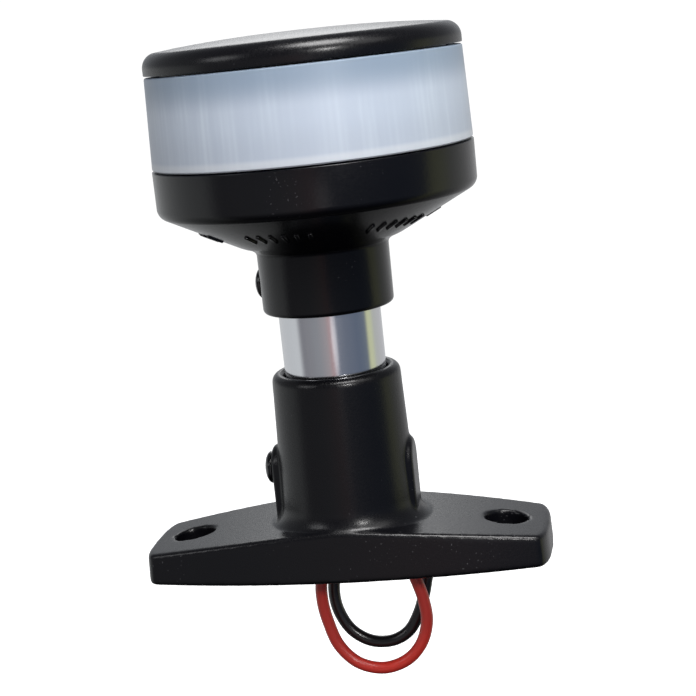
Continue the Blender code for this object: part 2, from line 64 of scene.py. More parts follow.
# How far a cutter goes past the face that it crosses, and the ends of the longer blanks and cutters
CUT_PAST = 0.001
BLANK_PAST = 0.004
BLANK_HALF_WIDTH = 0.020
POCKET_HALF_WIDTH = 0.019
PLAN_LOW = -0.0001
PLAN_CUT = (-0.002, 0.060)
HOLE_CUT = (-0.003, 0.020)
BASE_SCREW_CUT = (-0.018, -0.007)
POLE_SCREW_CUT = (-0.012, -0.007)
HEAD_SCREW_CUT = (0.008, 0.014)
SPOT_FACE_END = 0.016
SPOT_FACE_R = 0.0034

# The base's plan narrows by BASE_TAPER per metre squared from its middle, and its walls by BASE_DRAFT
BASE_TAPER = 3.0
BASE_DRAFT = 0.045
CROWN_POWER = 1.3
BOSS_ROOT = 0.004
PAD_ROOT_R = 0.0099
PAD_ROOT_Z = 0.006

# Stretches of the head's turned profiles, as (radius, height), or as (radius, drop below the top)
CONE_FOOT = ((0.0152, 0.06235), (0.0134, 0.0617), (0.0125, 0.0611), (0.01225, 0.0605))
PASSAGE_R = 0.008
HOUSING_BOWL = ((0.012, 0.0663), (0.0224, 0.0713))
CAP_CROWN = ((0.0, 0.0), (0.005, 3e-05), (0.009, 0.0001), (0.0135, 0.00026))
CAP_CROWN += ((0.018, 0.0005), (0.0222, 0.0008))
CAP_INSIDE = ((0.0225, 0.0964), (0, 0.0976))
SCREW_DOME = ((0.0, 0.0), (0.0009, 3e-05), (0.0016, 0.00011), (0.0022, 0.00028), (0.0027, 0.00055))
SCREW_DOME_DROP = 0.0009
SCREW_POINT = 0.0005
RECESS_NARROWING = 0.72

# The small roundings of moulded and turned edges
HOUSING_RIM_EASE = 0.00012
CONE_EASE = 0.0004
COLLAR_EASE = 0.0003
CAP_RIM_EASE = 0.00015
LENS_EASE = 0.00025

# The flutes in the lens, and the ribs under the cone, in groups whose angles are in degrees
FLUTES = 72
LENS_STEPS = 6 * FLUTES
RIB_GROUPS = 6
RIBS_EACH = 6
RIB_START = -40
RIB_STEP = 6.2
RIB_PLACE = 0.40
RIB_SIZE = (0.0032, 0.0007, 0.0007)
RIB_EDGE = 0.00018

# The strands in a lead's bare end
STRANDS_ROUND = 6
STRAND_STEPS = 16
STRAND_TWIST = math.radians(150)

FLOOR_R = 0.9
FLOOR_Z = -0.16
LIGHTS_AIM = (0, 0, 0.05)

# ---- sizes and colours


def length(name, description, millimetres):
    return bpy.props.FloatProperty(
        name=name,
        description=description,
        default=millimetres * MM,
        precision=5,
        unit="LENGTH",
        subtype="DISTANCE",
    )


def colour(name, description, red, green, blue):
    return bpy.props.FloatVectorProperty(
        name=name,
        description=description,
        default=(red, green, blue),
        size=3,
        min=0.0,
        max=1.0,
        subtype="COLOR",
    )


class NavLightBase(bpy.types.PropertyGroup):
    shift: length("Plan shift", "How far the plan's centre lies to the right of the pole", -0.9)
    half_length: length("Half length", "Half the base's length at its underside, without the end bulge", 38.3)
    half_width: length("Half width", "Half the base's width at the middle of its underside", 14.85)
    corner: length("Corner", "Rounding of the plan's four corners", 5.5)
    bulge: length("End bulge", "How far each end bows outwards", 0.4)
    edge: length("Edge", "Rounding of the top edge", 0.7)
    crown: length("Crown height", "Height of the top face at the middle", 9.85)
    drop: length("Crown drop", "How far the top face falls from the middle to a fixing hole", 3.0)
    hole_x: length("Hole distance", "From the plan's centre to each fixing hole", 30.3)
    hole_r: length("Hole radius", "Radius of the fixing holes", 4.0)
    column_r: length("Column radius", "Radius of the solid ring round each fixing hole", 6.5)
    wall: length("Wall", "Thickness of the hollow base's side wall", 2.3)
    plate: length("Plate", "Thickness of the hollow base's top", 2.4)
    boss_top: length("Boss top", "Height of the socket's rim", 37.9)
    boss_r: length("Boss radius", "Radius of the boss at its rim", 12.1)
    boss_round: length("Boss rounding", "Rounding of the boss's rim", 1.6)
    foot_r: length("Boss foot radius", "Radius of the boss where its fillet starts", 12.85)
    foot_z: length("Boss foot height", "Height at which the boss's fillet starts", 13.2)
    fillet_r: length("Fillet radius", "Radius at which the fillet meets the crown", 16.5)
    fillet_z: length("Fillet low", "Height at which the fillet ends", 8.2)
    socket_r: length("Socket radius", "Radius of the socket for the pole", 9.75)
    socket_floor: length("Socket floor", "Height of the ledge that the pole stands above", 12.0)
    stop_r: length("Passage radius", "Radius of the lead passage below the ledge", 8.0)
    lip: length("Socket chamfer", "Chamfer on the socket's mouth", 0.7)
    pad_half: length("Pad half width", "Half the width of the screw pads", 4.0)
    pad_left: length("Left pad face", "Distance of the left pad's face from the pole's axis", 13.75)
    pad_right: length("Right pad face", "Distance of the right pad's face from the pole's axis", 13.3)
    pad_arch: length("Pad arch", "Height of the centre of the pads' round tops", 19.6)
    screw_z: length("Screw height", "Height of the base's clamp screw", 19.2)
    screw_hole: length("Screw hole", "Radius of the clamp screw's hole", 1.95)
    voxel: length("Voxel", "Grid size for the moulded shape", 0.37)


class NavLightHead(bpy.types.PropertyGroup):
    collar_bottom: length("Collar bottom", "Height of the collar's lower face", 49.4)
    collar_r: length("Collar radius", "Radius of the collar", 12.2)
    collar_round: length("Collar rounding", "Rounding of the collar's lower edge", 0.9)
    socket_r: length("Socket radius", "Radius of the bore for the pole", 9.75)
    pole_top: length("Bore top", "Height at which the bore ends", 64.1)
    band_bottom: length("Band bottom", "Height of the band's lower edge", 69.7)
    band_r: length("Band radius", "Radius of the band below the lens", 29.4)
    band_round: length("Band rounding", "Rounding of the band's lower edge", 1.5)
    top: length("Housing top", "Height of the band's top face", 77.7)
    lip_r: length("Lip radius", "Outer radius of the spigots inside the lens", 25.9)
    lip_bore_r: length("Lip bore radius", "Inner radius of the spigots", 24.2)
    lip_height: length("Lip height", "How far each spigot reaches into the lens", 3.2)
    groove_r: length("Groove radius", "Radius of the floor of each seal's groove", 24.7)
    low_seal: length("Lower seal", "Height of the lower seal", 79.2)
    high_seal: length("Upper seal", "Height of the upper seal", 93.0)
    seal_half: length("Groove half height", "Half the height of each seal's groove", 0.8)
    shelf: length("Shelf", "Height of the shelf under the driver board", 72.9)
    lens_bottom: length("Lens bottom", "Height of the lens's lower face", 78.0)
    lens_top: length("Lens top", "Height of the lens's upper face", 94.5)
    lens_low_r: length("Lens lower radius", "Outer radius of the lens at its lower edge", 29.3)
    lens_high_r: length("Lens upper radius", "Outer radius of the lens at its upper edge", 28.75)
    lens_bore_r: length("Lens bore", "Radius of the lens's bore at the flutes' crests", 26.6)
    flute: length("Flute depth", "Depth of the flutes in the lens's bore", 0.3)
    cap_bottom: length("Cap bottom", "Height of the cap's lower edge", 94.8)
    cap_r: length("Cap radius", "Radius of the cap", 28.8)
    cap_top: length("Cap top", "Height of the middle of the cap", 100.0)
    cap_shoulder: length("Cap shoulder", "Rounding of the cap's shoulder", 2.8)
    cap_dome: length("Cap dome", "Rise of the cap from its shoulder to its middle", 1.2)
    screw_z: length("Screw height", "Height of the head's clamp screw", 54.5)
    screw_turn: bpy.props.FloatProperty(
        name="Screw direction",
        description="Direction of the head's clamp screw about the pole",
        default=math.radians(168),
        subtype="ANGLE",
        unit="ROTATION",
    )
    spot_face: length("Spot face", "Distance of the screw's flat seat from the pole's axis", 12.0)


class NavLightPole(bpy.types.PropertyGroup):
    radius: length("Radius", "Outer radius of the tube", 9.525)
    wall: length("Wall", "Wall thickness of the tube", 1.25)
    bottom: length("Bottom", "Height of the tube's lower end", 12.3)
    top: length("Top", "Height of the tube's upper end", 63.8)
    ease: length("Ease", "Rounding of the tube's ends", 0.3)


class NavLightScrews(bpy.types.PropertyGroup):
    shank_r: length("Shank radius", "Radius of the clamp screws' shanks", 1.72)
    head_r: length("Head radius", "Radius of the clamp screws' heads", 3.05)
    head_height: length("Head height", "Height of the clamp screws' heads", 1.1)
    washer_r: length("Washer radius", "Outer radius of the washers", 3.1)
    washer_bore: length("Washer bore", "Radius of the washers' holes", 1.95)
    washer_thick: length("Washer thickness", "Thickness of the washers", 0.35)
    seat_gap: length("Seat gap", "Gap between the washer and its seat", 0.15)
    air: length("Head gap", "Gap between the screw's head and the washer", 0.1)
    recess_long: length("Recess length", "Length of each arm pair of the cross recess", 3.4)
    recess_wide: length("Recess width", "Width of the arms of the cross recess", 0.75)
    recess_deep: length("Recess depth", "Depth of the cross recess", 0.75)


class NavLightLeads(bpy.types.PropertyGroup):
    diameter: length("Diameter", "Diameter of each lead over its insulation", 2.35)
    tip_r: length("Strand bundle", "Radius of the bare strands' bundle", 0.5)
    tip_length: length("Bare length", "Length of the bare strands", 5.0)


class NavLightColours(bpy.types.PropertyGroup):
    black: colour("Black", "The moulded and painted black parts", 0.0020, 0.0020, 0.0032)
    lens: colour("Lens", "The frosted lens", 0.52, 0.59, 0.69)
    pole: colour("Pole", "The anodised tube", 0.78, 0.79, 0.82)
    steel: colour("Screws", "The blackened screws", 0.004, 0.004, 0.005)
    rubber: colour("Rubber", "The seals and the bush", 0.018, 0.018, 0.018)
    red: colour("Red lead", "The positive lead's insulation", 0.62, 0.035, 0.022)
    black_lead: colour("Black lead", "The negative lead's insulation", 0.008, 0.008, 0.009)
    tin: colour("Tinned copper", "The leads' bare ends", 0.62, 0.61, 0.58)
    floor: colour("Floor", "The studio floor", 0.93, 0.93, 0.93)


# ---- shader maths


class Value:
    """A node's output that takes part in arithmetic, adding a Math node for each operator."""

    def __init__(self, graph, socket):
        self.graph = graph
        self.socket = socket

    def math(self, operation, *others):
        inputs = {0: self, **dict(enumerate(others, 1))}
        return self.graph.node("Math", {"operation": operation}, inputs)

    def __add__(self, other):
        return self.math("ADD", other)

    __radd__ = __add__

    def __mul__(self, other):
        return self.math("MULTIPLY", other)

    def __sub__(self, other):
        return self.math("SUBTRACT", other)

    def __rsub__(self, other):
        return self.graph.node("Math", {"operation": "SUBTRACT"}, {0: other, 1: self})

    def __truediv__(self, other):
        return self.math("DIVIDE", other)


class Graph:
    """The nodes of the world or, as a Finish, of a material."""

    def __init__(self, tree):
        self.tree = tree

    def node(self, kind, settings=None, inputs=None, output=0):
        """Any shader node: its settings first, then the values or links of its sockets."""
        made = self.tree.nodes.new("ShaderNode" + kind)
        for key, value in (settings or {}).items():
            if key == "stops":
                ramp = made.color_ramp
                while len(ramp.elements) < len(value):
                    ramp.elements.new(0.5)
                for element, (place, tint) in zip(ramp.elements, value):
                    element.position = place
                    element.color = (*tint, 1.0)
            else:
                setattr(made, key, value)
        for key, value in (inputs or {}).items():
            if isinstance(value, Value):
                self.tree.links.new(value.socket, made.inputs[key])
            else:
                made.inputs[key].default_value = value
        return None if output is None else Value(self, made.outputs[output])

    def place(self):
        """The point on the piece, in metres."""
        return self.node("TexCoord", output="Object")

    def noise(self, scale, detail=2.0, stretch=(1, 1, 1), roughness=0.5):
        point = self.node("VectorMath", {"operation": "MULTIPLY"}, {0: self.place(), 1: stretch})
        wanted = {"Vector": point, "Scale": scale, "Detail": detail, "Roughness": roughness}
        return self.node("TexNoise", None, wanted, "Fac")

    def along(self, axis):
        return self.node("SeparateXYZ", None, {0: self.place()}, axis)

    def range(self, value, low, high, to_low=0.0, to_high=1.0):
        settings = {"interpolation_type": "SMOOTHSTEP"}
        wanted = {"Value": value, "From Min": low, "From Max": high, "To Min": to_low, "To Max": to_high}
        return self.node("MapRange", settings, wanted)

    def blend(self, factor, one, other):
        """A mix of two colours, at the sockets that the Mix node keeps for colours."""
        ends = [tone if isinstance(tone, Value) else (*tone, 1.0) for tone in (one, other)]
        return self.node("Mix", {"data_type": "RGBA"}, {0: factor, 6: ends[0], 7: ends[1]}, 2)

    def bump(self, height, strength, distance):
        return self.node("Bump", None, {"Height": height, "Strength": strength, "Distance": distance})


class Finish(Graph):
    """A material's nodes, with one Principled shader at the end."""

    def __init__(self, name, **constants):
        self.material = bpy.data.materials.new(name + "_finish")
        self.material.use_nodes = True
        super().__init__(self.material.node_tree)
        self.shader = self.tree.nodes["Principled BSDF"]
        for socket, value in constants.items():
            self.shader.inputs[socket.replace("_", " ")].default_value = value

    def drive(self, **values):
        for socket, value in values.items():
            self.tree.links.new(value.socket, self.shader.inputs[socket.replace("_", " ")])
        return self.material


def finishes():
    return bpy.context.scene.nav_light_colours


def known(name):
    return bpy.data.materials.get(name + "_finish")


def scaled(tone, share):
    return [min(1.0, channel * share) for channel in tone]


def black_plastic(name, roughness, grain, sparkle, coat=0.0):
    """Black moulding: a fine grain that breaks up its highlights, a few pale specks, faint handling marks."""
    if known(name):
        return known(name)
    shade = Finish(name, IOR=1.42, Coat_Roughness=0.25, Coat_Weight=coat)
    tone = finishes().black
    fine = shade.noise(2600.0, 2.0)
    coarse = shade.noise(900.0, 2.0)
    broad = shade.noise(60.0, 3.0)
    specks = shade.range(shade.noise(2400.0, 0.0), 0.76, 0.84) * shade.range(broad, 0.50, 0.66) * sparkle
    tint = shade.blend(broad, scaled(tone, 0.8), scaled(tone, 1.3))
    tint = shade.blend(specks, tint, (0.20, 0.20, 0.21))
    rough = roughness + (fine - 0.5) * 0.18 + (broad - 0.5) * 0.10
    height = fine + coarse * 0.7
    return shade.drive(Base_Color=tint, Roughness=rough, Normal=shade.bump(height, grain, 0.00006))


def housing_black():
    return black_plastic("housing_black", 0.20, 0.22, 0.2)


def frosted_lens():
    name = "lens_frosted"
    if known(name):
        return known(name)
    sizes = bpy.context.scene.nav_light_head
    shade = Finish(
        name,
        IOR=1.5,
        Subsurface_Weight=0.25,
        Subsurface_Scale=0.004,
        Subsurface_Radius=(1.0, 1.0, 1.0),
        Coat_Weight=0.15,
        Coat_Roughness=0.2,
    )
    tone = finishes().lens
    angle = shade.along("Y").math("ARCTAN2", shade.along("X"))
    height = shade.range(shade.along("Z"), sizes.lens_bottom, sizes.lens_top)
    prisms = (angle * (2.0 * FLUTES)).math("COSINE") * 0.5 + 0.5
    across = shade.node("CombineXYZ", None, {0: angle * 11.0, 1: height * 0.35})
    uneven = shade.node("TexNoise", None, {"Vector": across, "Scale": 1.0, "Detail": 4.0}, "Fac")
    wide = shade.node("CombineXYZ", None, {0: angle * 1.6, 1: height * 0.2, 2: 3.0})
    patches = shade.node("TexNoise", None, {"Vector": wide, "Scale": 1.0, "Detail": 1.0}, "Fac")
    streak = (prisms * 0.6 + 0.4) * shade.range(uneven, 0.38, 0.66) * shade.range(patches, 0.34, 0.56)
    tint = shade.blend(streak * 0.55, tone, (0.68, 0.76, 0.84))
    # Painted shadow: the lens colour darkens towards its top, standing in for the cap's shade
    painted_shadow_under_cap = shade.range(height, 0.62, 1.02)
    tint = shade.blend(painted_shadow_under_cap * 0.74, tint, (0.20, 0.28, 0.38))
    # Painted shade: the lens colour darkens through its lower half towards the bottom
    lower = 1.0 - shade.range(height, 0.0, 0.5)
    tint = shade.blend(lower * 0.22, tint, (0.30, 0.33, 0.38))
    # Painted light: a pale band painted along the lens's lower edge
    painted_light_low_edge = 1.0 - shade.range(height, 0.008, 0.035)
    tint = shade.blend(painted_light_low_edge * 0.5, tint, (0.74, 0.77, 0.80))
    rough = 0.40 + (uneven - 0.5) * 0.10
    return shade.drive(Base_Color=tint, Roughness=rough, Normal=shade.bump(prisms, 0.04, 0.0001))


def anodised():
    """Drawn tube: fine draw lines along its length under a clear satin anodising."""
    name = "pole_aluminium"
    if known(name):
        return known(name)
    shade = Finish(name, Metallic=1.0)
    tone = finishes().pole
    lines = shade.noise(900.0, 3.0, (1, 1, 0.012))
    grit = shade.noise(2600.0, 1.0)
    tint = shade.blend(lines, scaled(tone, 0.92), tone)
    rough = 0.17 + (lines - 0.5) * 0.12 + (grit - 0.5) * 0.06
    return shade.drive(Base_Color=tint, Roughness=rough, Normal=shade.bump(lines + grit * 0.4, 0.06, 0.00004))


def plain(name, tone, roughness, metallic=0.0, scale=900.0, depth=0.06, coat=0.0):
    """Small parts: their colour with a little unevenness in tone, gloss and surface."""
    if known(name):
        return known(name)
    shade = Finish(name, Metallic=metallic, Coat_Weight=coat, Coat_Roughness=0.1)
    grain = shade.noise(scale, 3.0)
    tint = shade.blend(grain, scaled(tone, 0.85), scaled(tone, 1.12))
    rough = roughness + (grain - 0.5) * 0.16
    return shade.drive(Base_Color=tint, Roughness=rough, Normal=shade.bump(grain, depth, 0.00005))


def screw_steel():
    return plain("screw_steel", finishes().steel, 0.22, 0.0, 1600.0, 0.05, 0.6)


# ---- shapes


def place(name, mesh, finish):
    obj = bpy.data.objects.new(name, mesh)
    bpy.context.scene.collection.objects.link(obj)
    if finish:
        mesh.materials.append(finish)
    return obj


def make_mesh(name, bm, angle=35):
    """The bmesh, drawn in metres, as a smooth-shaded mesh with its faces pointing out."""
    bmesh.ops.remove_doubles(bm, verts=bm.verts, dist=0.002 * MM)
    bmesh.ops.recalc_face_normals(bm, faces=bm.faces)
    mesh = bpy.data.meshes.new(name)
    bm.to_mesh(mesh)
    bm.free()
    mesh.shade_smooth()
    mesh.set_sharp_from_angle(angle=math.radians(angle))
    return mesh


def round_off(bm, geom, affect, size, segments):
    """Rounds the given corners or edges of a bmesh."""
    bmesh.ops.bevel(
        bm, geom=geom, affect=affect, offset=size, segments=segments, profile=0.5, material=-1
    )


def spin_profile(profile, rounds=(), steps=160, segments=5, matrix=None):
    """A bmesh of a closed (radius, height) profile spun about Z, with chosen corners rounded first."""
    bm = bmesh.new()
    corners = [bm.verts.new((radius, 0, height)) for radius, height in profile]
    face = bm.faces.new(corners)
    for index, size in rounds:
        round_off(bm, [corners[index]], "VERTICES", size, segments)
    bmesh.ops.delete(bm, geom=[face] if face.is_valid else bm.faces[:], context="FACES_ONLY")
    on_axis = [edge for edge in bm.edges if all(abs(vert.co.x) < 1e-7 for vert in edge.verts)]
    for edge in on_axis:
        bm.edges.remove(edge)
    bmesh.ops.spin(
        bm,
        geom=bm.verts[:] + bm.edges[:],
        cent=(0, 0, 0),
        axis=(0, 0, 1),
        angle=2 * math.pi,
        steps=steps,
        use_merge=True,
    )
    if matrix:
        bmesh.ops.transform(bm, matrix=matrix, verts=bm.verts)
    return bm


def turned(name, profile, finish, rounds=(), steps=160, segments=5, matrix=None, angle=35):
    bm = spin_profile(profile, rounds, steps, segments, matrix)
    return place(name, make_mesh(name, bm, angle), finish)


def arc(centre, radius, start, end, count):
    points = []
    for step in range(count + 1):
        angle = math.radians(start + (end - start) * step / count)
        points.append((centre[0] + radius[0] * math.cos(angle), centre[1] + radius[1] * math.sin(angle)))
    return points


def prism(name, outline, low, high, axis="Z", corners=(), corner_r=0.0, narrow=None):
    """A flat outline extruded along an axis, with chosen corners rounded and its far end narrowed."""
    spots = {"Z": lambda u, v: (u, v, low), "Y": lambda u, v: (u, low, v), "X": lambda u, v: (low, u, v)}
    steps = {"Z": (0, 0, high - low), "Y": (0, high - low, 0), "X": (high - low, 0, 0)}
    bm = bmesh.new()
    verts = [bm.verts.new(spots[axis](u, v)) for u, v in outline]
    bm.faces.new(verts)
    if corners:
        round_off(bm, [verts[i] for i in corners], "VERTICES", corner_r, 12)
    made = bmesh.ops.extrude_face_region(bm, geom=bm.faces[:])
    moved = [item for item in made["geom"] if isinstance(item, bmesh.types.BMVert)]
    bmesh.ops.translate(bm, vec=steps[axis], verts=moved)
    if narrow:
        bmesh.ops.scale(bm, vec=narrow, verts=moved)
    return place(name, make_mesh(name, bm), None)


def rod(name, start, end, radius, steps=48):
    """A cylinder between two points."""
    start = Vector(start)
    end = Vector(end)
    turn = (end - start).to_track_quat("Z", "Y").to_matrix().to_4x4()
    bm = bmesh.new()
    bmesh.ops.create_cone(
        bm,
        cap_ends=True,
        segments=steps,
        radius1=radius,
        radius2=radius,
        depth=(end - start).length,
        matrix=Matrix.Translation((start + end) / 2) @ turn,
    )
    return place(name, make_mesh(name, bm), None)


def cut(obj, other, operation="DIFFERENCE"):
    modifier = obj.modifiers.new(other.name, "BOOLEAN")
    modifier.operation = operation
    modifier.object = other
    modifier.solver = "MANIFOLD"


def settle(obj, helpers, finish, angle=35):
    """Applies the object's modifiers and removes the shapes that they used."""
    bpy.context.view_layer.update()
    graph = bpy.context.evaluated_depsgraph_get()
    mesh = bpy.data.meshes.new_from_object(obj.evaluated_get(graph))
    obj.modifiers.clear()
    old = obj.data
    obj.data = mesh
    mesh.name = obj.name
    bpy.data.meshes.remove(old)
    for helper in helpers:
        bpy.data.objects.remove(helper, do_unlink=True)
    mesh.materials.clear()
    mesh.materials.append(finish)
    mesh.polygons.foreach_set("material_index", [0] * len(mesh.polygons))
    mesh.shade_smooth()
    mesh.set_sharp_from_angle(angle=math.radians(angle))
    return obj


def stand_for(piece, body, slot, *nodes):
    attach(piece, body)
    if nodes:
        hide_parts(*nodes)
    return piece


def restyle(node, finish):
    """Gives a CAD node that stays in view its finish."""
    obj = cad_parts[node]
    if not obj.data.materials:
        obj.data.materials.append(finish)
    for material_slot in obj.material_slots:
        material_slot.material = finish


# ---- camera and leads


class NAVLIGHT_OT_camera(bpy.types.Operator):
    """Adds the camera, a little to the right of the light's front and just above its lens"""

    bl_idname = "navlight.camera"
    bl_label = "Camera"

    def execute(self, context):
        flat = math.cos(CAMERA_ELEVATION)
        across, back = math.sin(CAMERA_AZIMUTH) * flat, math.cos(CAMERA_AZIMUTH) * flat
        away = Vector((across, -back, math.sin(CAMERA_ELEVATION)))
        right = (-away).cross(Vector((0, 0, 1))).normalized()
        level = Matrix((right, right.cross(-away), away)).transposed()
        turn = Matrix.Rotation(CAMERA_ROLL, 3, "Z") @ Matrix.Rotation(CAMERA_TILT, 3, "X")
        turn = turn @ Matrix.Rotation(CAMERA_PAN, 3, "Y")
        data = bpy.data.cameras.new("camera")
        data.sensor_width = 36.0
        data.lens = CAMERA_LENS
        data.shift_x, data.shift_y = CAMERA_SHIFT
        data.clip_start = 0.01
        data.clip_end = 20.0
        camera = bpy.data.objects.new("camera", data)
        context.scene.collection.objects.link(camera)
        place_at = Matrix.Translation(Vector(CAMERA_TARGET) + away * CAMERA_DISTANCE)
        camera.matrix_world = place_at @ (level @ turn.transposed()).to_4x4()
        context.scene.camera = camera
        return {"FINISHED"}


RED_ROUTE = (
    (-0.0016, 0.0, 0.0076),
    (-0.00175, -5e-05, 0.0062),
    (-0.0031, -0.0009, 0.0036),
    (-0.0051, -0.0021, 0.0006),
    (-0.0066, -0.0029, -0.003),
    (-0.0069, -0.003, -0.0071),
    (-0.0062, -0.003, -0.0116),
    (-0.0046, -0.003, -0.0164),
    (-0.0012, -0.003, -0.0201),
    (0.0036, -0.003, -0.0214),
    (0.0082, -0.003, -0.02),
    (0.0114, -0.003, -0.0167),
    (0.0129, -0.003, -0.0122),
    (0.0126, -0.003, -0.0076),
    (0.0114, -0.0029, -0.0032),
    (0.01, -0.002, 0.0008),
    (0.008, 0.0008, 0.0036),
    (0.0052, 0.0046, 0.0048),
    (0.0002, 0.0067, 0.005),
    (-0.0054, 0.0073, 0.0048),
    (-0.011, 0.0072, 0.0043),
    (-0.016, 0.0066, 0.0039),
)
BLACK_ROUTE = (
    (0.0016, 0.0, 0.0076),
    (0.0014, 5e-05, 0.0062),
    (-0.0001, 0.0003, 0.0032),
    (-0.0023, 0.0006, 0.0005),
    (-0.00435, 0.0009, -0.0024),
    (-0.0052, 0.001, -0.0066),
    (-0.0047, 0.001, -0.0108),
    (-0.0026, 0.001, -0.0148),
    (0.001, 0.001, -0.0172),
    (0.0052, 0.001, -0.0174),
    (0.0086, 0.001, -0.0156),
    (0.0108, 0.001, -0.0122),
    (0.0123, 0.001, -0.0082),
    (0.01335, 0.0011, -0.0042),
    (0.0148, 0.0016, -0.0004),
    (0.0172, 0.0016, 0.0024),
    (0.0202, 0.0002, 0.0035),
    (0.0216, -0.0032, 0.0036),
    (0.0202, -0.0068, 0.0037),
    (0.0164, -0.0083, 0.0039),
    (0.0116, -0.0088, 0.0044),
    (0.0064, -0.009, 0.0049),
    (0.001, -0.0091, 0.0051),
    (-0.0046, -0.009, 0.0051),
    (-0.01, -0.0086, 0.0047),
)


def lead_curve(name, route, radius, finish):
    """A tube along one smooth curve through the route's points."""
    curve = bpy.data.curves.new(name, "CURVE")
    curve.dimensions = "3D"
    curve.bevel_depth = radius
    curve.bevel_resolution = 6
    curve.resolution_u = 10
    curve.use_fill_caps = True
    spline = curve.splines.new("BEZIER")
    spline.bezier_points.add(len(route) - 1)
    points = [Vector(point) for point in route]
    for i, knot in enumerate(spline.bezier_points):
        before = points[max(i - 1, 0)]
        after = points[min(i + 1, len(points) - 1)]
        knot.handle_left_type = "FREE"
        knot.handle_right_type = "FREE"
        knot.co = points[i]
        knot.handle_left = points[i] - (after - before) / 6
        knot.handle_right = points[i] + (after - before) / 6
    obj = bpy.data.objects.new(name, curve)
    bpy.context.scene.collection.objects.link(obj)
    curve.materials.append(finish)
    return obj


def insulation(name, tone, roughness):
    """Soft extruded insulation: a low gloss, faintly uneven along its length."""
    if known(name):
        return known(name)
    shade = Finish(name, IOR=1.5, Coat_Weight=0.25, Coat_Roughness=0.25)
    grain = shade.noise(1400.0, 2.0)
    drift = shade.noise(120.0, 2.0)
    tint = shade.blend(drift, scaled(tone, 0.88), scaled(tone, 1.1))
    rough = roughness + (grain - 0.5) * 0.15
    return shade.drive(Base_Color=tint, Roughness=rough, Normal=shade.bump(grain + drift, 0.08, 0.00006))


def strands(name, route, sizes, finish):
    """A bare end: seven tinned strands laid together with a slow twist."""
    end = Vector(route[-1])
    onward = (end - Vector(route[-2])).normalized()
    start = end + onward * GAP
    turn = onward.to_track_quat("Z", "Y").to_matrix().to_4x4()
    whole = bmesh.new()
    strand_r = sizes.tip_r / 3
    for number in range(STRANDS_ROUND + 1):
        offset = 0.0 if number == STRANDS_ROUND else 2 * strand_r
        angle = 2 * math.pi * number / STRANDS_ROUND
        ring = bmesh.ops.create_circle(
            whole, cap_ends=False, segments=10, radius=strand_r, matrix=Matrix.Translation((offset, 0, 0))
        )["verts"]
        bmesh.ops.rotate(whole, cent=(0, 0, 0), matrix=Matrix.Rotation(angle, 3, "Z"), verts=ring)
        edges = list({edge for vert in ring for edge in vert.link_edges})
        bmesh.ops.contextual_create(whole, geom=edges)
        made = bmesh.ops.spin(
            whole,
            geom=ring + edges,
            cent=(0, 0, 0),
            dvec=(0, 0, sizes.tip_length / STRAND_STEPS),
            axis=(0, 0, 1),
            angle=STRAND_TWIST,
            steps=STRAND_STEPS,
        )
        last = [item for item in made["geom_last"] if isinstance(item, bmesh.types.BMEdge)]
        bmesh.ops.contextual_create(whole, geom=last)
    bmesh.ops.transform(whole, matrix=Matrix.Translation(start) @ turn, verts=whole.verts)
    bmesh.ops.recalc_face_normals(whole, faces=whole.faces)
    mesh = bpy.data.meshes.new(name)
    whole.to_mesh(mesh)
    whole.free()
    mesh.shade_smooth()
    mesh.set_sharp_from_angle(angle=math.radians(50))
    return place(name, mesh, finish)


class NAVLIGHT_OT_leads(bpy.types.Operator):
    """Hangs the red and the black lead below the base, with their bare ends tucked up into its hollow"""

    bl_idname = "navlight.leads"
    bl_label = "Leads"

    def execute(self, context):
        sizes = context.scene.nav_light_leads
        tones = finishes()
        tin = plain("tinned_copper", tones.tin, 0.32, 1.0, 3000.0)
        for name, tone, route, roughness in (
            ("red", tones.red, RED_ROUTE, 0.40),
            ("black", tones.black_lead, BLACK_ROUTE, 0.30),
        ):
            finish = insulation(f"lead_{name}", tone, roughness)
            lead = lead_curve(f"{name}_lead_tube", route, sizes.diameter / 2, finish)
            tip = strands(f"{name}_lead_strands", route, sizes, tin)
            stand_for(lead, "foot", f"lead_{name}", f"{name}_lead")
            stand_for(tip, "foot", "tinned_copper", f"{name}_lead_tip")
            restyle(f"{name}_lead_inner", finish)
        restyle("lead_bush", plain("bush_rubber", tones.rubber, 0.75, 0.0, 1500.0, 0.12))
        return {"FINISHED"}


# ---- base and pole


def crown(sizes, x):
    return sizes.crown - sizes.drop * (abs(x - sizes.shift) / sizes.hole_x) ** CROWN_POWER


def base_outline(sizes, inset, count=44):
    """The boat-shaped plan, counter-clockwise, and the places of its four corners in the list."""
    half = sizes.half_length - inset
    front = []
    for step in range(count + 1):
        x = half * (2 * step / count - 1)
        front.append((x, -(sizes.half_width - BASE_TAPER * x * x - inset)))
    back = [(-x, -y) for x, y in front]
    ends = ([(half + sizes.bulge, 0.0)], [(-half - sizes.bulge, 0.0)])
    points = [(x + sizes.shift, y) for x, y in front + ends[0] + back + ends[1]]
    return points, (0, count, count + 2, 2 * count + 2)


def crown_profile(sizes, drop, low, count=72):
    reach = sizes.half_length + BLANK_PAST
    points = [(-reach, low), (reach, low)]
    for step in range(count + 1):
        x = reach * (1 - 2 * step / count)
        points.append((x, crown(sizes, x) - drop))
    return points


def side_rod(name, stretch, sizes):
    """A cutter along the base's clamp screw, between two places along X."""
    ends = [(x, 0, sizes.screw_z) for x in stretch]
    return rod(name, *ends, sizes.screw_hole)


def side_pad(sizes, name, side, face):
    """A tombstone-shaped pad on one side of the boss."""
    arch = arc((0, sizes.pad_arch), (sizes.pad_half, sizes.pad_half), 0, 180, 28)
    outline = [(-sizes.pad_half, PAD_ROOT_Z), (sizes.pad_half, PAD_ROOT_Z)] + arch
    pad = prism(name, outline, PAD_ROOT_R * side, face * side, "X")
    soften = pad.modifiers.new("Soften", "BEVEL")
    soften.width = sizes.edge
    soften.segments = 4
    soften.limit_method = "ANGLE"
    soften.angle_limit = math.radians(60)
    return pad


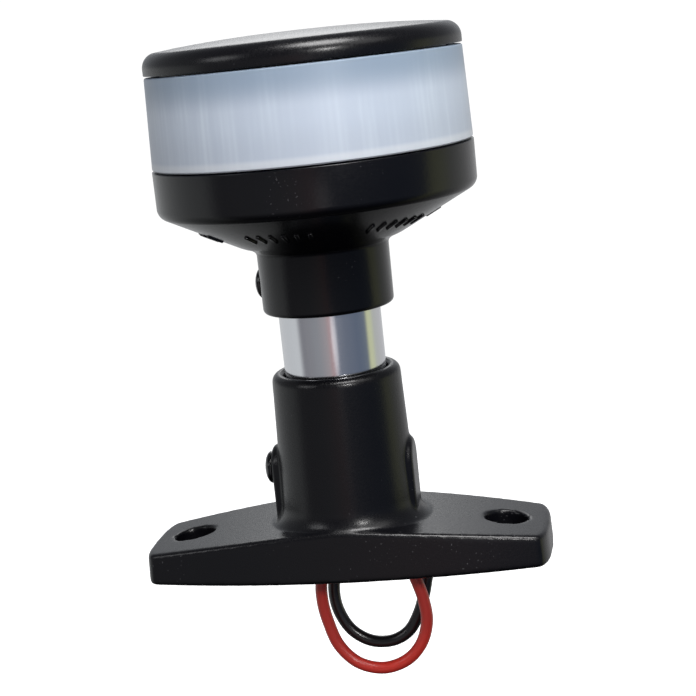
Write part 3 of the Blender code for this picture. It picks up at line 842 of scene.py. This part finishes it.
class NAVLIGHT_OT_base(bpy.types.Operator):
    """Moulds the boat-shaped base with its boss, side pads, fixing holes and hollow underside"""

    bl_idname = "navlight.base"
    bl_label = "Base"

    def execute(self, context):
        sizes = context.scene.nav_light_base
        blank = crown_profile(sizes, 0.0, 0.0)
        base = prism("base_moulding", blank, -BLANK_HALF_WIDTH, BLANK_HALF_WIDTH, "Y")
        top = sizes.boss_top
        round_r = sizes.boss_round
        wall = arc((sizes.boss_r - round_r, top - round_r), (round_r, round_r), 90, 0, 10)
        reach = (sizes.fillet_r - sizes.foot_r, sizes.foot_z - sizes.fillet_z)
        fillet = arc((sizes.fillet_r, sizes.foot_z), reach, 180, 270, 18)
        boss_profile = [(0, top)] + wall + fillet + [(sizes.fillet_r, BOSS_ROOT), (0, BOSS_ROOT)]
        boss = turned("boss", boss_profile, None, steps=144)
        outline, corners = base_outline(sizes, 0.0)
        draft = BASE_DRAFT * top
        narrow = (1 - draft / sizes.half_length, 1 - draft / sizes.half_width, 1)
        plan = prism("plan", outline, PLAN_LOW, top, "Z", corners, sizes.corner, narrow)
        cut(base, boss, "UNION")
        cut(base, plan, "INTERSECT")
        weld = base.modifiers.new("Weld", "WELD")
        weld.merge_threshold = 0.05 * MM
        edge = base.modifiers.new("Edge", "BEVEL")
        edge.width = sizes.edge
        edge.segments = 4
        edge.use_clamp_overlap = False
        edge.limit_method = "ANGLE"
        edge.angle_limit = math.radians(62)
        helpers = [boss, plan]
        for name, side, face in (("pad_left", -1, sizes.pad_left), ("pad_right", 1, sizes.pad_right)):
            pad = side_pad(sizes, name, side, face)
            cut(base, pad, "UNION")
            helpers.append(pad)
        inner, inner_corners = base_outline(sizes, sizes.wall)
        hollow = crown_profile(sizes, sizes.plate, -CUT_PAST)
        pocket = prism("pocket", hollow, -POCKET_HALF_WIDTH, POCKET_HALF_WIDTH, "Y")
        inner_r = sizes.corner - sizes.wall
        pocket_plan = prism("pocket_plan", inner, *PLAN_CUT, "Z", inner_corners, inner_r)
        cut(pocket, pocket_plan, "INTERSECT")
        helpers += [pocket, pocket_plan]
        helpers += self.at_holes(sizes, pocket, "column", sizes.column_r)
        cut(base, pocket)
        helpers += self.at_holes(sizes, base, "hole", sizes.hole_r)
        mouth = sizes.socket_r + sizes.lip
        bore = [(0, top + CUT_PAST), (mouth, top + CUT_PAST), (mouth, top)]
        bore += [(sizes.socket_r, top - sizes.lip)]
        bore += [(sizes.socket_r, sizes.socket_floor), (sizes.stop_r, sizes.socket_floor)]
        bore += [(sizes.stop_r, BOSS_ROOT - CUT_PAST), (0, BOSS_ROOT - CUT_PAST)]
        socket = turned("socket", bore, None, steps=144)
        screw_hole = side_rod("screw_hole", BASE_SCREW_CUT, sizes)
        cut(base, socket)
        cut(base, screw_hole)
        remesh = base.modifiers.new("Mould", "REMESH")
        remesh.mode = "VOXEL"
        remesh.voxel_size = sizes.voxel
        remesh.adaptivity = 0.0
        relax = base.modifiers.new("Relax", "SMOOTH")
        relax.factor = 0.5
        relax.iterations = 5
        finish = black_plastic("base_black", 0.29, 0.26, 0.3)
        settle(base, helpers + [socket, screw_hole], finish, 180)
        stand_for(base, "foot", "base_black", "base")
        return {"FINISHED"}

    def at_holes(self, sizes, obj, name, radius):
        """Cuts a rod from the object at each fixing hole, and returns the two rods."""
        rods = []
        for side in (-1, 1):
            ends = [(sizes.shift + side * sizes.hole_x, 0, z) for z in HOLE_CUT]
            rods.append(rod(f"{name}_{side:+d}", *ends, radius, 64))
            cut(obj, rods[-1])
        return rods


class NAVLIGHT_OT_pole(bpy.types.Operator):
    """Cuts the aluminium tube that joins the base and the head"""

    bl_idname = "navlight.pole"
    bl_label = "Pole"

    def execute(self, context):
        sizes = context.scene.nav_light_pole
        inside = sizes.radius - sizes.wall
        profile = [
            (inside, sizes.top),
            (sizes.radius, sizes.top),
            (sizes.radius, sizes.bottom),
            (inside, sizes.bottom),
        ]
        rounds = [(1, sizes.ease), (2, sizes.ease)]
        pole = turned("pole_tube_drawn", profile, None, rounds, 160, 3)
        dimple = side_rod("dimple", POLE_SCREW_CUT, context.scene.nav_light_base)
        cut(pole, dimple)
        settle(pole, [dimple], anodised())
        stand_for(pole, "foot", "pole_aluminium", "pole_tube")
        return {"FINISHED"}


# ---- head


class NAVLIGHT_OT_housing(bpy.types.Operator):
    """Turns the head's housing: the collar on the pole, the cone and the band below the lens"""

    bl_idname = "navlight.housing"
    bl_label = "Housing"

    def execute(self, context):
        sizes = context.scene.nav_light_head
        low, high = sizes.low_seal - sizes.seal_half, sizes.low_seal + sizes.seal_half
        lip = sizes.lens_bottom + sizes.lip_height
        throat = HOUSING_BOWL[0][1]
        profile = [(sizes.lip_r, sizes.top), (sizes.band_r, sizes.top), (sizes.band_r, sizes.band_bottom)]
        profile += CONE_FOOT
        profile += [(sizes.collar_r, sizes.collar_bottom), (sizes.socket_r, sizes.collar_bottom)]
        profile += [(sizes.socket_r, sizes.pole_top), (PASSAGE_R, sizes.pole_top), (PASSAGE_R, throat)]
        profile += HOUSING_BOWL
        profile += [(HOUSING_BOWL[-1][0], sizes.shelf), (sizes.lip_bore_r, sizes.shelf)]
        profile += [(sizes.lip_bore_r, lip), (sizes.lip_r, lip), (sizes.lip_r, high)]
        profile += [(sizes.groove_r, high), (sizes.groove_r, low), (sizes.lip_r, low)]
        rounds = [(1, HOUSING_RIM_EASE), (2, sizes.band_round * 0.8), (3, CONE_EASE)]
        rounds += [(5, COLLAR_EASE), (7, sizes.collar_round), (8, COLLAR_EASE)]
        housing = turned("housing_moulding", profile, None, rounds, 224, 8)
        turn = sizes.screw_turn
        out = Vector((math.cos(turn), math.sin(turn), 0))
        up = Vector((0, 0, sizes.screw_z))
        far = out * SPOT_FACE_END + up
        face = rod("spot_face", out * sizes.spot_face + up, far, SPOT_FACE_R, 64)
        ends = [out * reach + up for reach in HEAD_SCREW_CUT]
        hole = rod("head_screw_hole", *ends, context.scene.nav_light_base.screw_hole)
        cut(housing, face)
        cut(housing, hole)
        settle(housing, [face, hole], housing_black(), 30)
        stand_for(housing, "head", "housing_black", "head_housing")
        return {"FINISHED"}


class NAVLIGHT_OT_grip_ribs(bpy.types.Operator):
    """Adds the small raised ribs on the underside of the head's cone"""

    bl_idname = "navlight.grip_ribs"
    bl_label = "Cone ribs"

    def execute(self, context):
        sizes = context.scene.nav_light_head
        inner = Vector((CONE_FOOT[0][0], 0, CONE_FOOT[0][1]))
        outer = Vector((sizes.band_r, 0, sizes.band_bottom))
        along = (outer - inner).normalized()
        middle = inner + (outer - inner) * RIB_PLACE
        slope = math.atan2(along.z, along.x)
        whole = bmesh.new()
        for group in range(RIB_GROUPS):
            for number in range(RIBS_EACH):
                off_middle = RIB_STEP * (number - (RIBS_EACH - 1) / 2)
                turn = math.radians(360 / RIB_GROUPS * group + RIB_START + off_middle)
                spot = Matrix.Rotation(turn, 4, "Z") @ Matrix.Translation(middle)
                spot = spot @ Matrix.Rotation(-slope, 4, "Y") @ Matrix.Diagonal((*RIB_SIZE, 1))
                made = bmesh.ops.create_cube(whole, size=1.0, matrix=spot)
                edges = list({edge for vert in made["verts"] for edge in vert.link_edges})
                round_off(whole, edges, "EDGES", RIB_EDGE, 3)
        ribs = place("cone_ribs", make_mesh("cone_ribs", whole), housing_black())
        stand_for(ribs, "head", "housing_black")
        return {"FINISHED"}


class NAVLIGHT_OT_lens(bpy.types.Operator):
    """Makes the frosted ring lens, plain outside and fluted inside"""

    bl_idname = "navlight.lens"
    bl_label = "Lens"

    def execute(self, context):
        sizes = context.scene.nav_light_head
        ease = LENS_EASE
        rings = (
            (sizes.lens_low_r - ease, sizes.lens_bottom, 0.0),
            (sizes.lens_low_r, sizes.lens_bottom + ease, 0.0),
            (sizes.lens_high_r, sizes.lens_top - ease, 0.0),
            (sizes.lens_high_r - ease, sizes.lens_top, 0.0),
            (sizes.lens_bore_r, sizes.lens_top, sizes.flute),
            (sizes.lens_bore_r, sizes.lens_bottom, sizes.flute),
        )
        bm = bmesh.new()
        loops = []
        for radius, height, depth in rings:
            spot = Matrix.Translation((0, 0, height))
            made = bmesh.ops.create_circle(
                bm, cap_ends=False, segments=LENS_STEPS, radius=radius, matrix=spot
            )["verts"]
            if depth:
                for vert in made:
                    wave = (1 - math.cos(FLUTES * math.atan2(vert.co.y, vert.co.x))) / 2
                    grow = 1 + depth * wave / radius
                    bmesh.ops.scale(bm, vec=(grow, grow, 1), verts=[vert])
            loops.append(list({edge for vert in made for edge in vert.link_edges}))
        for one, other in zip(loops, loops[1:] + loops[:1]):
            bmesh.ops.bridge_loops(bm, edges=one + other)
        lens = place("lens_ring", make_mesh("lens_ring", bm, 28), frosted_lens())
        stand_for(lens, "head", "lens_frosted", "lens")
        return {"FINISHED"}


class NAVLIGHT_OT_cap(bpy.types.Operator):
    """Turns the domed top cap"""

    bl_idname = "navlight.cap"
    bl_label = "Top cap"

    def execute(self, context):
        sizes = context.scene.nav_light_head
        low, high = sizes.high_seal - sizes.seal_half, sizes.high_seal + sizes.seal_half
        lip = sizes.lens_top - sizes.lip_height
        top, shoulder = sizes.cap_top, sizes.cap_shoulder
        start = (sizes.cap_r - shoulder, top - sizes.cap_dome - shoulder)
        profile = [(radius, top - drop) for radius, drop in CAP_CROWN]
        profile += arc(start, (shoulder, shoulder), 82, 0, 16)
        base = len(profile)
        profile += [(sizes.cap_r, sizes.cap_bottom), (sizes.lip_r, sizes.cap_bottom), (sizes.lip_r, high)]
        profile += [(sizes.groove_r, high), (sizes.groove_r, low), (sizes.lip_r, low), (sizes.lip_r, lip)]
        profile += [(sizes.lip_bore_r, lip), (sizes.lip_bore_r, sizes.cap_bottom), *CAP_INSIDE]
        finish = black_plastic("cap_black", 0.27, 0.10, 0.1)
        cap = turned("cap_moulding", profile, finish, [(base, CAP_RIM_EASE)], 224, 3, angle=30)
        stand_for(cap, "head", "cap_black", "top_cap")
        return {"FINISHED"}


class NAVLIGHT_OT_lamp(bpy.types.Operator):
    """Gives the seals and the lamp's inner parts their finishes"""

    bl_idname = "navlight.lamp"
    bl_label = "Lamp and seals"

    def execute(self, context):
        tones = finishes()
        rubber = plain("seal_rubber", tones.rubber, 0.7, 0.0, 1500.0, 0.12)
        restyle("lens_seal", rubber)
        restyle("cap_seal", rubber)
        restyle("driver_board", plain("board_green", (0.02, 0.12, 0.05), 0.35, 0.0, 700.0, 0.05, 0.3))
        chip = plain("chip_black", (0.02, 0.02, 0.022), 0.5, 0.0, 2500.0, 0.1)
        restyle("driver_chip", chip)
        restyle("driver_coil", chip)
        restyle("lead_terminal", plain("terminal_white", (0.72, 0.72, 0.69), 0.5))
        restyle("led_core", plain("core_aluminium", (0.70, 0.71, 0.73), 0.38, 1.0, 1200.0, 0.1))
        board = plain("led_board_white", (0.78, 0.79, 0.77), 0.4, 0.0, 900.0, 0.04, 0.2)
        led = plain("led_yellow", (0.82, 0.66, 0.12), 0.25, 0.0, 900.0, 0.02, 0.5)
        for number in range(1, 7):
            restyle(f"led_board_{number}", board)
            restyle(f"led_{number}", led)
        return {"FINISHED"}


# ---- screws


class NAVLIGHT_OT_screws(bpy.types.Operator):
    """Makes the two domed clamp screws with their cross recesses, and their washers"""

    bl_idname = "navlight.screws"
    bl_label = "Clamp screws"

    def execute(self, context):
        sizes = context.scene.nav_light_screws
        base, head = context.scene.nav_light_base, context.scene.nav_light_head
        pole_r = context.scene.nav_light_pole.radius
        for prefix, turn, height, face in (
            ("base", math.pi, base.screw_z, base.pad_left),
            ("head", head.screw_turn, head.screw_z, head.spot_face),
        ):
            spot = Matrix.Translation((0, 0, height)) @ Matrix.Rotation(turn, 4, "Z")
            spot = spot @ Matrix.Rotation(math.pi / 2, 4, "Y")
            self.washer(sizes, prefix, face + sizes.seat_gap, spot)
            seat = face + sizes.seat_gap + sizes.washer_thick + sizes.air
            self.screw(sizes, prefix, seat, pole_r + GAP, spot)
        return {"FINISHED"}

    def washer(self, sizes, prefix, low, spot):
        high = low + sizes.washer_thick
        profile = [(sizes.washer_bore, high), (sizes.washer_r, high)]
        profile += [(sizes.washer_r, low), (sizes.washer_bore, low)]
        rounds = [(0, 0.00006), (1, 0.0001), (2, 0.0001), (3, 0.00006)]
        washer = turned(f"{prefix}_washer_turned", profile, screw_steel(), rounds, 72, 3, spot)
        stand_for(washer, f"{prefix}_washer", "screw_steel", f"{prefix}_clamp_washer")

    def screw(self, sizes, prefix, seat, tip, spot):
        top = seat + sizes.head_height
        profile = [(radius, top - drop) for radius, drop in SCREW_DOME]
        profile += [(sizes.head_r, top - SCREW_DOME_DROP), (sizes.head_r, seat), (sizes.shank_r, seat)]
        profile += [(sizes.shank_r, tip + SCREW_POINT), (sizes.shank_r - SCREW_POINT, tip), (0, tip)]
        screw = turned(f"{prefix}_screw_turned", profile, None, [(5, 0.00015), (6, 0.00012)], 72, 3, spot)
        helpers = []
        long, wide = sizes.recess_long, sizes.recess_wide
        for name, arms in (("tall", (long, wide)), ("wide", (wide, long))):
            bm = bmesh.new()
            block = Matrix.Diagonal((*arms, 2 * sizes.recess_deep, 1))
            made = bmesh.ops.create_cube(bm, size=1.0, matrix=block)
            low = [vert for vert in made["verts"] if vert.co.z < 0]
            bmesh.ops.scale(bm, vec=(RECESS_NARROWING, RECESS_NARROWING, 1), verts=low)
            bmesh.ops.transform(bm, matrix=spot @ Matrix.Translation((0, 0, top)), verts=bm.verts)
            recess = place(f"{prefix}_recess_{name}", make_mesh(f"{prefix}_recess_{name}", bm), None)
            cut(screw, recess)
            helpers.append(recess)
        settle(screw, helpers, screw_steel(), 32)
        stand_for(screw, f"{prefix}_screw", "screw_steel", f"{prefix}_clamp_screw")


# ---- stage


# Each light's azimuth and elevation in degrees, distance and size in metres, power in watts, and tint
LIGHTS = (
    ("flash", -62, 20, 0.60, 0.08, 1.1, (1.0, 0.99, 0.98)),
    ("overhead", -58, 62, 0.70, 0.36, 5.6, (1.0, 0.99, 0.99)),
    ("key", -30, 40, 0.90, 0.50, 0.9, (1.0, 0.99, 0.98)),
    ("fill", -140, 25, 0.90, 0.35, 0.9, (0.97, 0.98, 1.0)),
    ("back", 101, 26, 0.80, 0.34, 0.50, (1.0, 1.0, 1.0)),
    ("front", -76, -7, 0.70, 0.14, 0.030, (1.0, 0.96, 0.95)),
)

# The room's colour by azimuth in degrees, at the light's own height and above it
LOW_ROOM = (
    (-180, (0.62, 0.64, 0.65)),
    (-164, (0.66, 0.68, 0.69)),
    (-152, (0.22, 0.22, 0.24)),
    (-138, (0.27, 0.27, 0.29)),
    (-112, (0.30, 0.31, 0.33)),
    (-92, (0.40, 0.36, 0.37)),
    (-84, (0.50, 0.34, 0.34)),
    (-74, (0.19, 0.21, 0.26)),
    (-20, (0.13, 0.16, 0.22)),
    (2, (0.16, 0.19, 0.24)),
    (9, (0.66, 0.68, 0.42)),
    (20, (0.62, 0.65, 0.44)),
    (30, (0.52, 0.53, 0.50)),
    (60, (0.55, 0.55, 0.56)),
    (100, (0.62, 0.63, 0.64)),
    (180, (0.62, 0.64, 0.65)),
)
HIGH_ROOM = (
    (-180, (0.30, 0.31, 0.33)),
    (-150, (0.14, 0.14, 0.15)),
    (-60, (0.12, 0.12, 0.14)),
    (20, (0.20, 0.21, 0.22)),
    (60, (0.34, 0.35, 0.37)),
    (85, (0.62, 0.64, 0.67)),
    (115, (0.46, 0.48, 0.51)),
    (150, (0.28, 0.29, 0.31)),
    (180, (0.30, 0.31, 0.33)),
)

# The room's strength by elevation in degrees
UPWARD = (
    (-90, 0.05),
    (-55, 0.10),
    (-30, 0.60),
    (-15, 1.0),
    (12, 1.0),
    (40, 0.7),
    (60, 0.45),
    (90, 0.40),
)


class NAVLIGHT_OT_stage(bpy.types.Operator):
    """Adds the pale floor, the studio's surroundings and the soft lights"""

    bl_idname = "navlight.stage"
    bl_label = "Stage"

    def execute(self, context):
        bm = bmesh.new()
        bmesh.ops.create_circle(
            bm, cap_ends=True, segments=96, radius=FLOOR_R, matrix=Matrix.Translation((0, 0, FLOOR_Z))
        )
        floor_mesh = bpy.data.meshes.new("floor")
        bm.to_mesh(floor_mesh)
        bm.free()
        white = (1.0, 1.0, 1.0, 1.0)
        shade = Finish("floor_pale", Roughness=0.9, Emission_Color=white, Emission_Strength=0.9)
        drift = shade.noise(3.0, 2.0)
        tone = finishes().floor
        tint = shade.blend(drift, scaled(tone, 0.985), tone)
        floor = place("floor", floor_mesh, shade.drive(Base_Color=tint))
        floor.visible_glossy = False
        floor.visible_diffuse = False
        self.world(context)
        for light in LIGHTS:
            self.light(*light)
        return {"FINISHED"}

    def light(self, name, azimuth, elevation, distance, size, power, tint):
        data = bpy.data.lights.new(name, "AREA")
        data.shape = "DISK"
        data.size = size
        data.energy = power
        data.color = tint
        light = bpy.data.objects.new(name, data)
        light.visible_camera = False
        bpy.context.scene.collection.objects.link(light)
        turn = Matrix.Rotation(math.radians(azimuth), 4, "Z")
        turn = turn @ Matrix.Rotation(math.radians(-elevation), 4, "Y")
        spot = Matrix.Translation(LIGHTS_AIM) @ turn @ Matrix.Translation((distance, 0, 0))
        light.matrix_world = spot @ Matrix.Rotation(math.pi / 2, 4, "Y")

    def world(self, context):
        """White behind the object, and for its reflections a room that differs by direction."""
        world = bpy.data.worlds.new("studio")
        context.scene.world = world
        world.use_nodes = True
        tree = world.node_tree
        tree.nodes.clear()
        room = Graph(tree)
        ray = room.node("TexCoord", output="Generated")
        split = room.node("SeparateXYZ", None, {0: ray})
        axes = [Value(room, socket) for socket in split.socket.node.outputs]
        azimuth = axes[1].math("ARCTAN2", axes[0]) / (2 * math.pi) + 0.5
        height = axes[2].math("ARCSINE") / math.pi + 0.5
        rooms = []
        for stops in (LOW_ROOM, HIGH_ROOM):
            stops = [((degrees + 180) / 360, tint) for degrees, tint in stops]
            rooms.append(room.node("ValToRGB", {"stops": stops}, {0: azimuth}))
        around = room.blend(room.range(axes[2], -0.02, 0.14), *rooms)
        stops = [((degrees + 90) / 180, (level, level, level)) for degrees, level in UPWARD]
        upward = room.node("ValToRGB", {"stops": stops}, {0: height})
        seen = room.node("Background", None, {"Color": (1.0, 1.0, 1.0, 1.0), "Strength": 1.05})
        felt = room.node("Background", None, {"Color": around, "Strength": upward})
        path = room.node("LightPath", output="Is Camera Ray")
        mixed = room.node("MixShader", None, {0: path, 1: felt, 2: seen})
        room.node("OutputWorld", None, {0: mixed}, None)
        context.scene.view_settings.view_transform = "Standard"


# ---- panel and registration


SIZE_GROUPS = (
    ("nav_light_base", NavLightBase),
    ("nav_light_head", NavLightHead),
    ("nav_light_pole", NavLightPole),
    ("nav_light_screws", NavLightScrews),
    ("nav_light_leads", NavLightLeads),
    ("nav_light_colours", NavLightColours),
)
STEPS = (
    NAVLIGHT_OT_camera,
    NAVLIGHT_OT_leads,
    NAVLIGHT_OT_base,
    NAVLIGHT_OT_pole,
    NAVLIGHT_OT_housing,
    NAVLIGHT_OT_grip_ribs,
    NAVLIGHT_OT_lens,
    NAVLIGHT_OT_cap,
    NAVLIGHT_OT_lamp,
    NAVLIGHT_OT_screws,
    NAVLIGHT_OT_stage,
)


class NAVLIGHT_PT_panel(bpy.types.Panel):
    """Lists the light's pieces, each with its button, and the sizes and colours"""

    bl_idname = "NAVLIGHT_PT_panel"
    bl_label = "Navigation light"
    bl_space_type = "VIEW_3D"
    bl_region_type = "UI"
    bl_category = "Nav light"

    def draw(self, context):
        for step in STEPS:
            self.layout.operator(step.bl_idname)
        for name, group in SIZE_GROUPS:
            box = self.layout.box()
            for field in group.__annotations__:
                box.prop(getattr(context.scene, name), field)


def register():
    for name, group in SIZE_GROUPS:
        bpy.utils.register_class(group)
        setattr(bpy.types.Scene, name, bpy.props.PointerProperty(type=group))
    for step in STEPS:
        bpy.utils.register_class(step)
    bpy.utils.register_class(NAVLIGHT_PT_panel)


def unregister():
    bpy.utils.unregister_class(NAVLIGHT_PT_panel)
    for step in reversed(STEPS):
        bpy.utils.unregister_class(step)
    for name, group in reversed(SIZE_GROUPS):
        delattr(bpy.types.Scene, name)
        bpy.utils.unregister_class(group)


def main():
    register()
    for step in STEPS:
        family, _, name = step.bl_idname.partition(".")
        getattr(getattr(bpy.ops, family), name)()


if __name__ == "__main__":
    main()
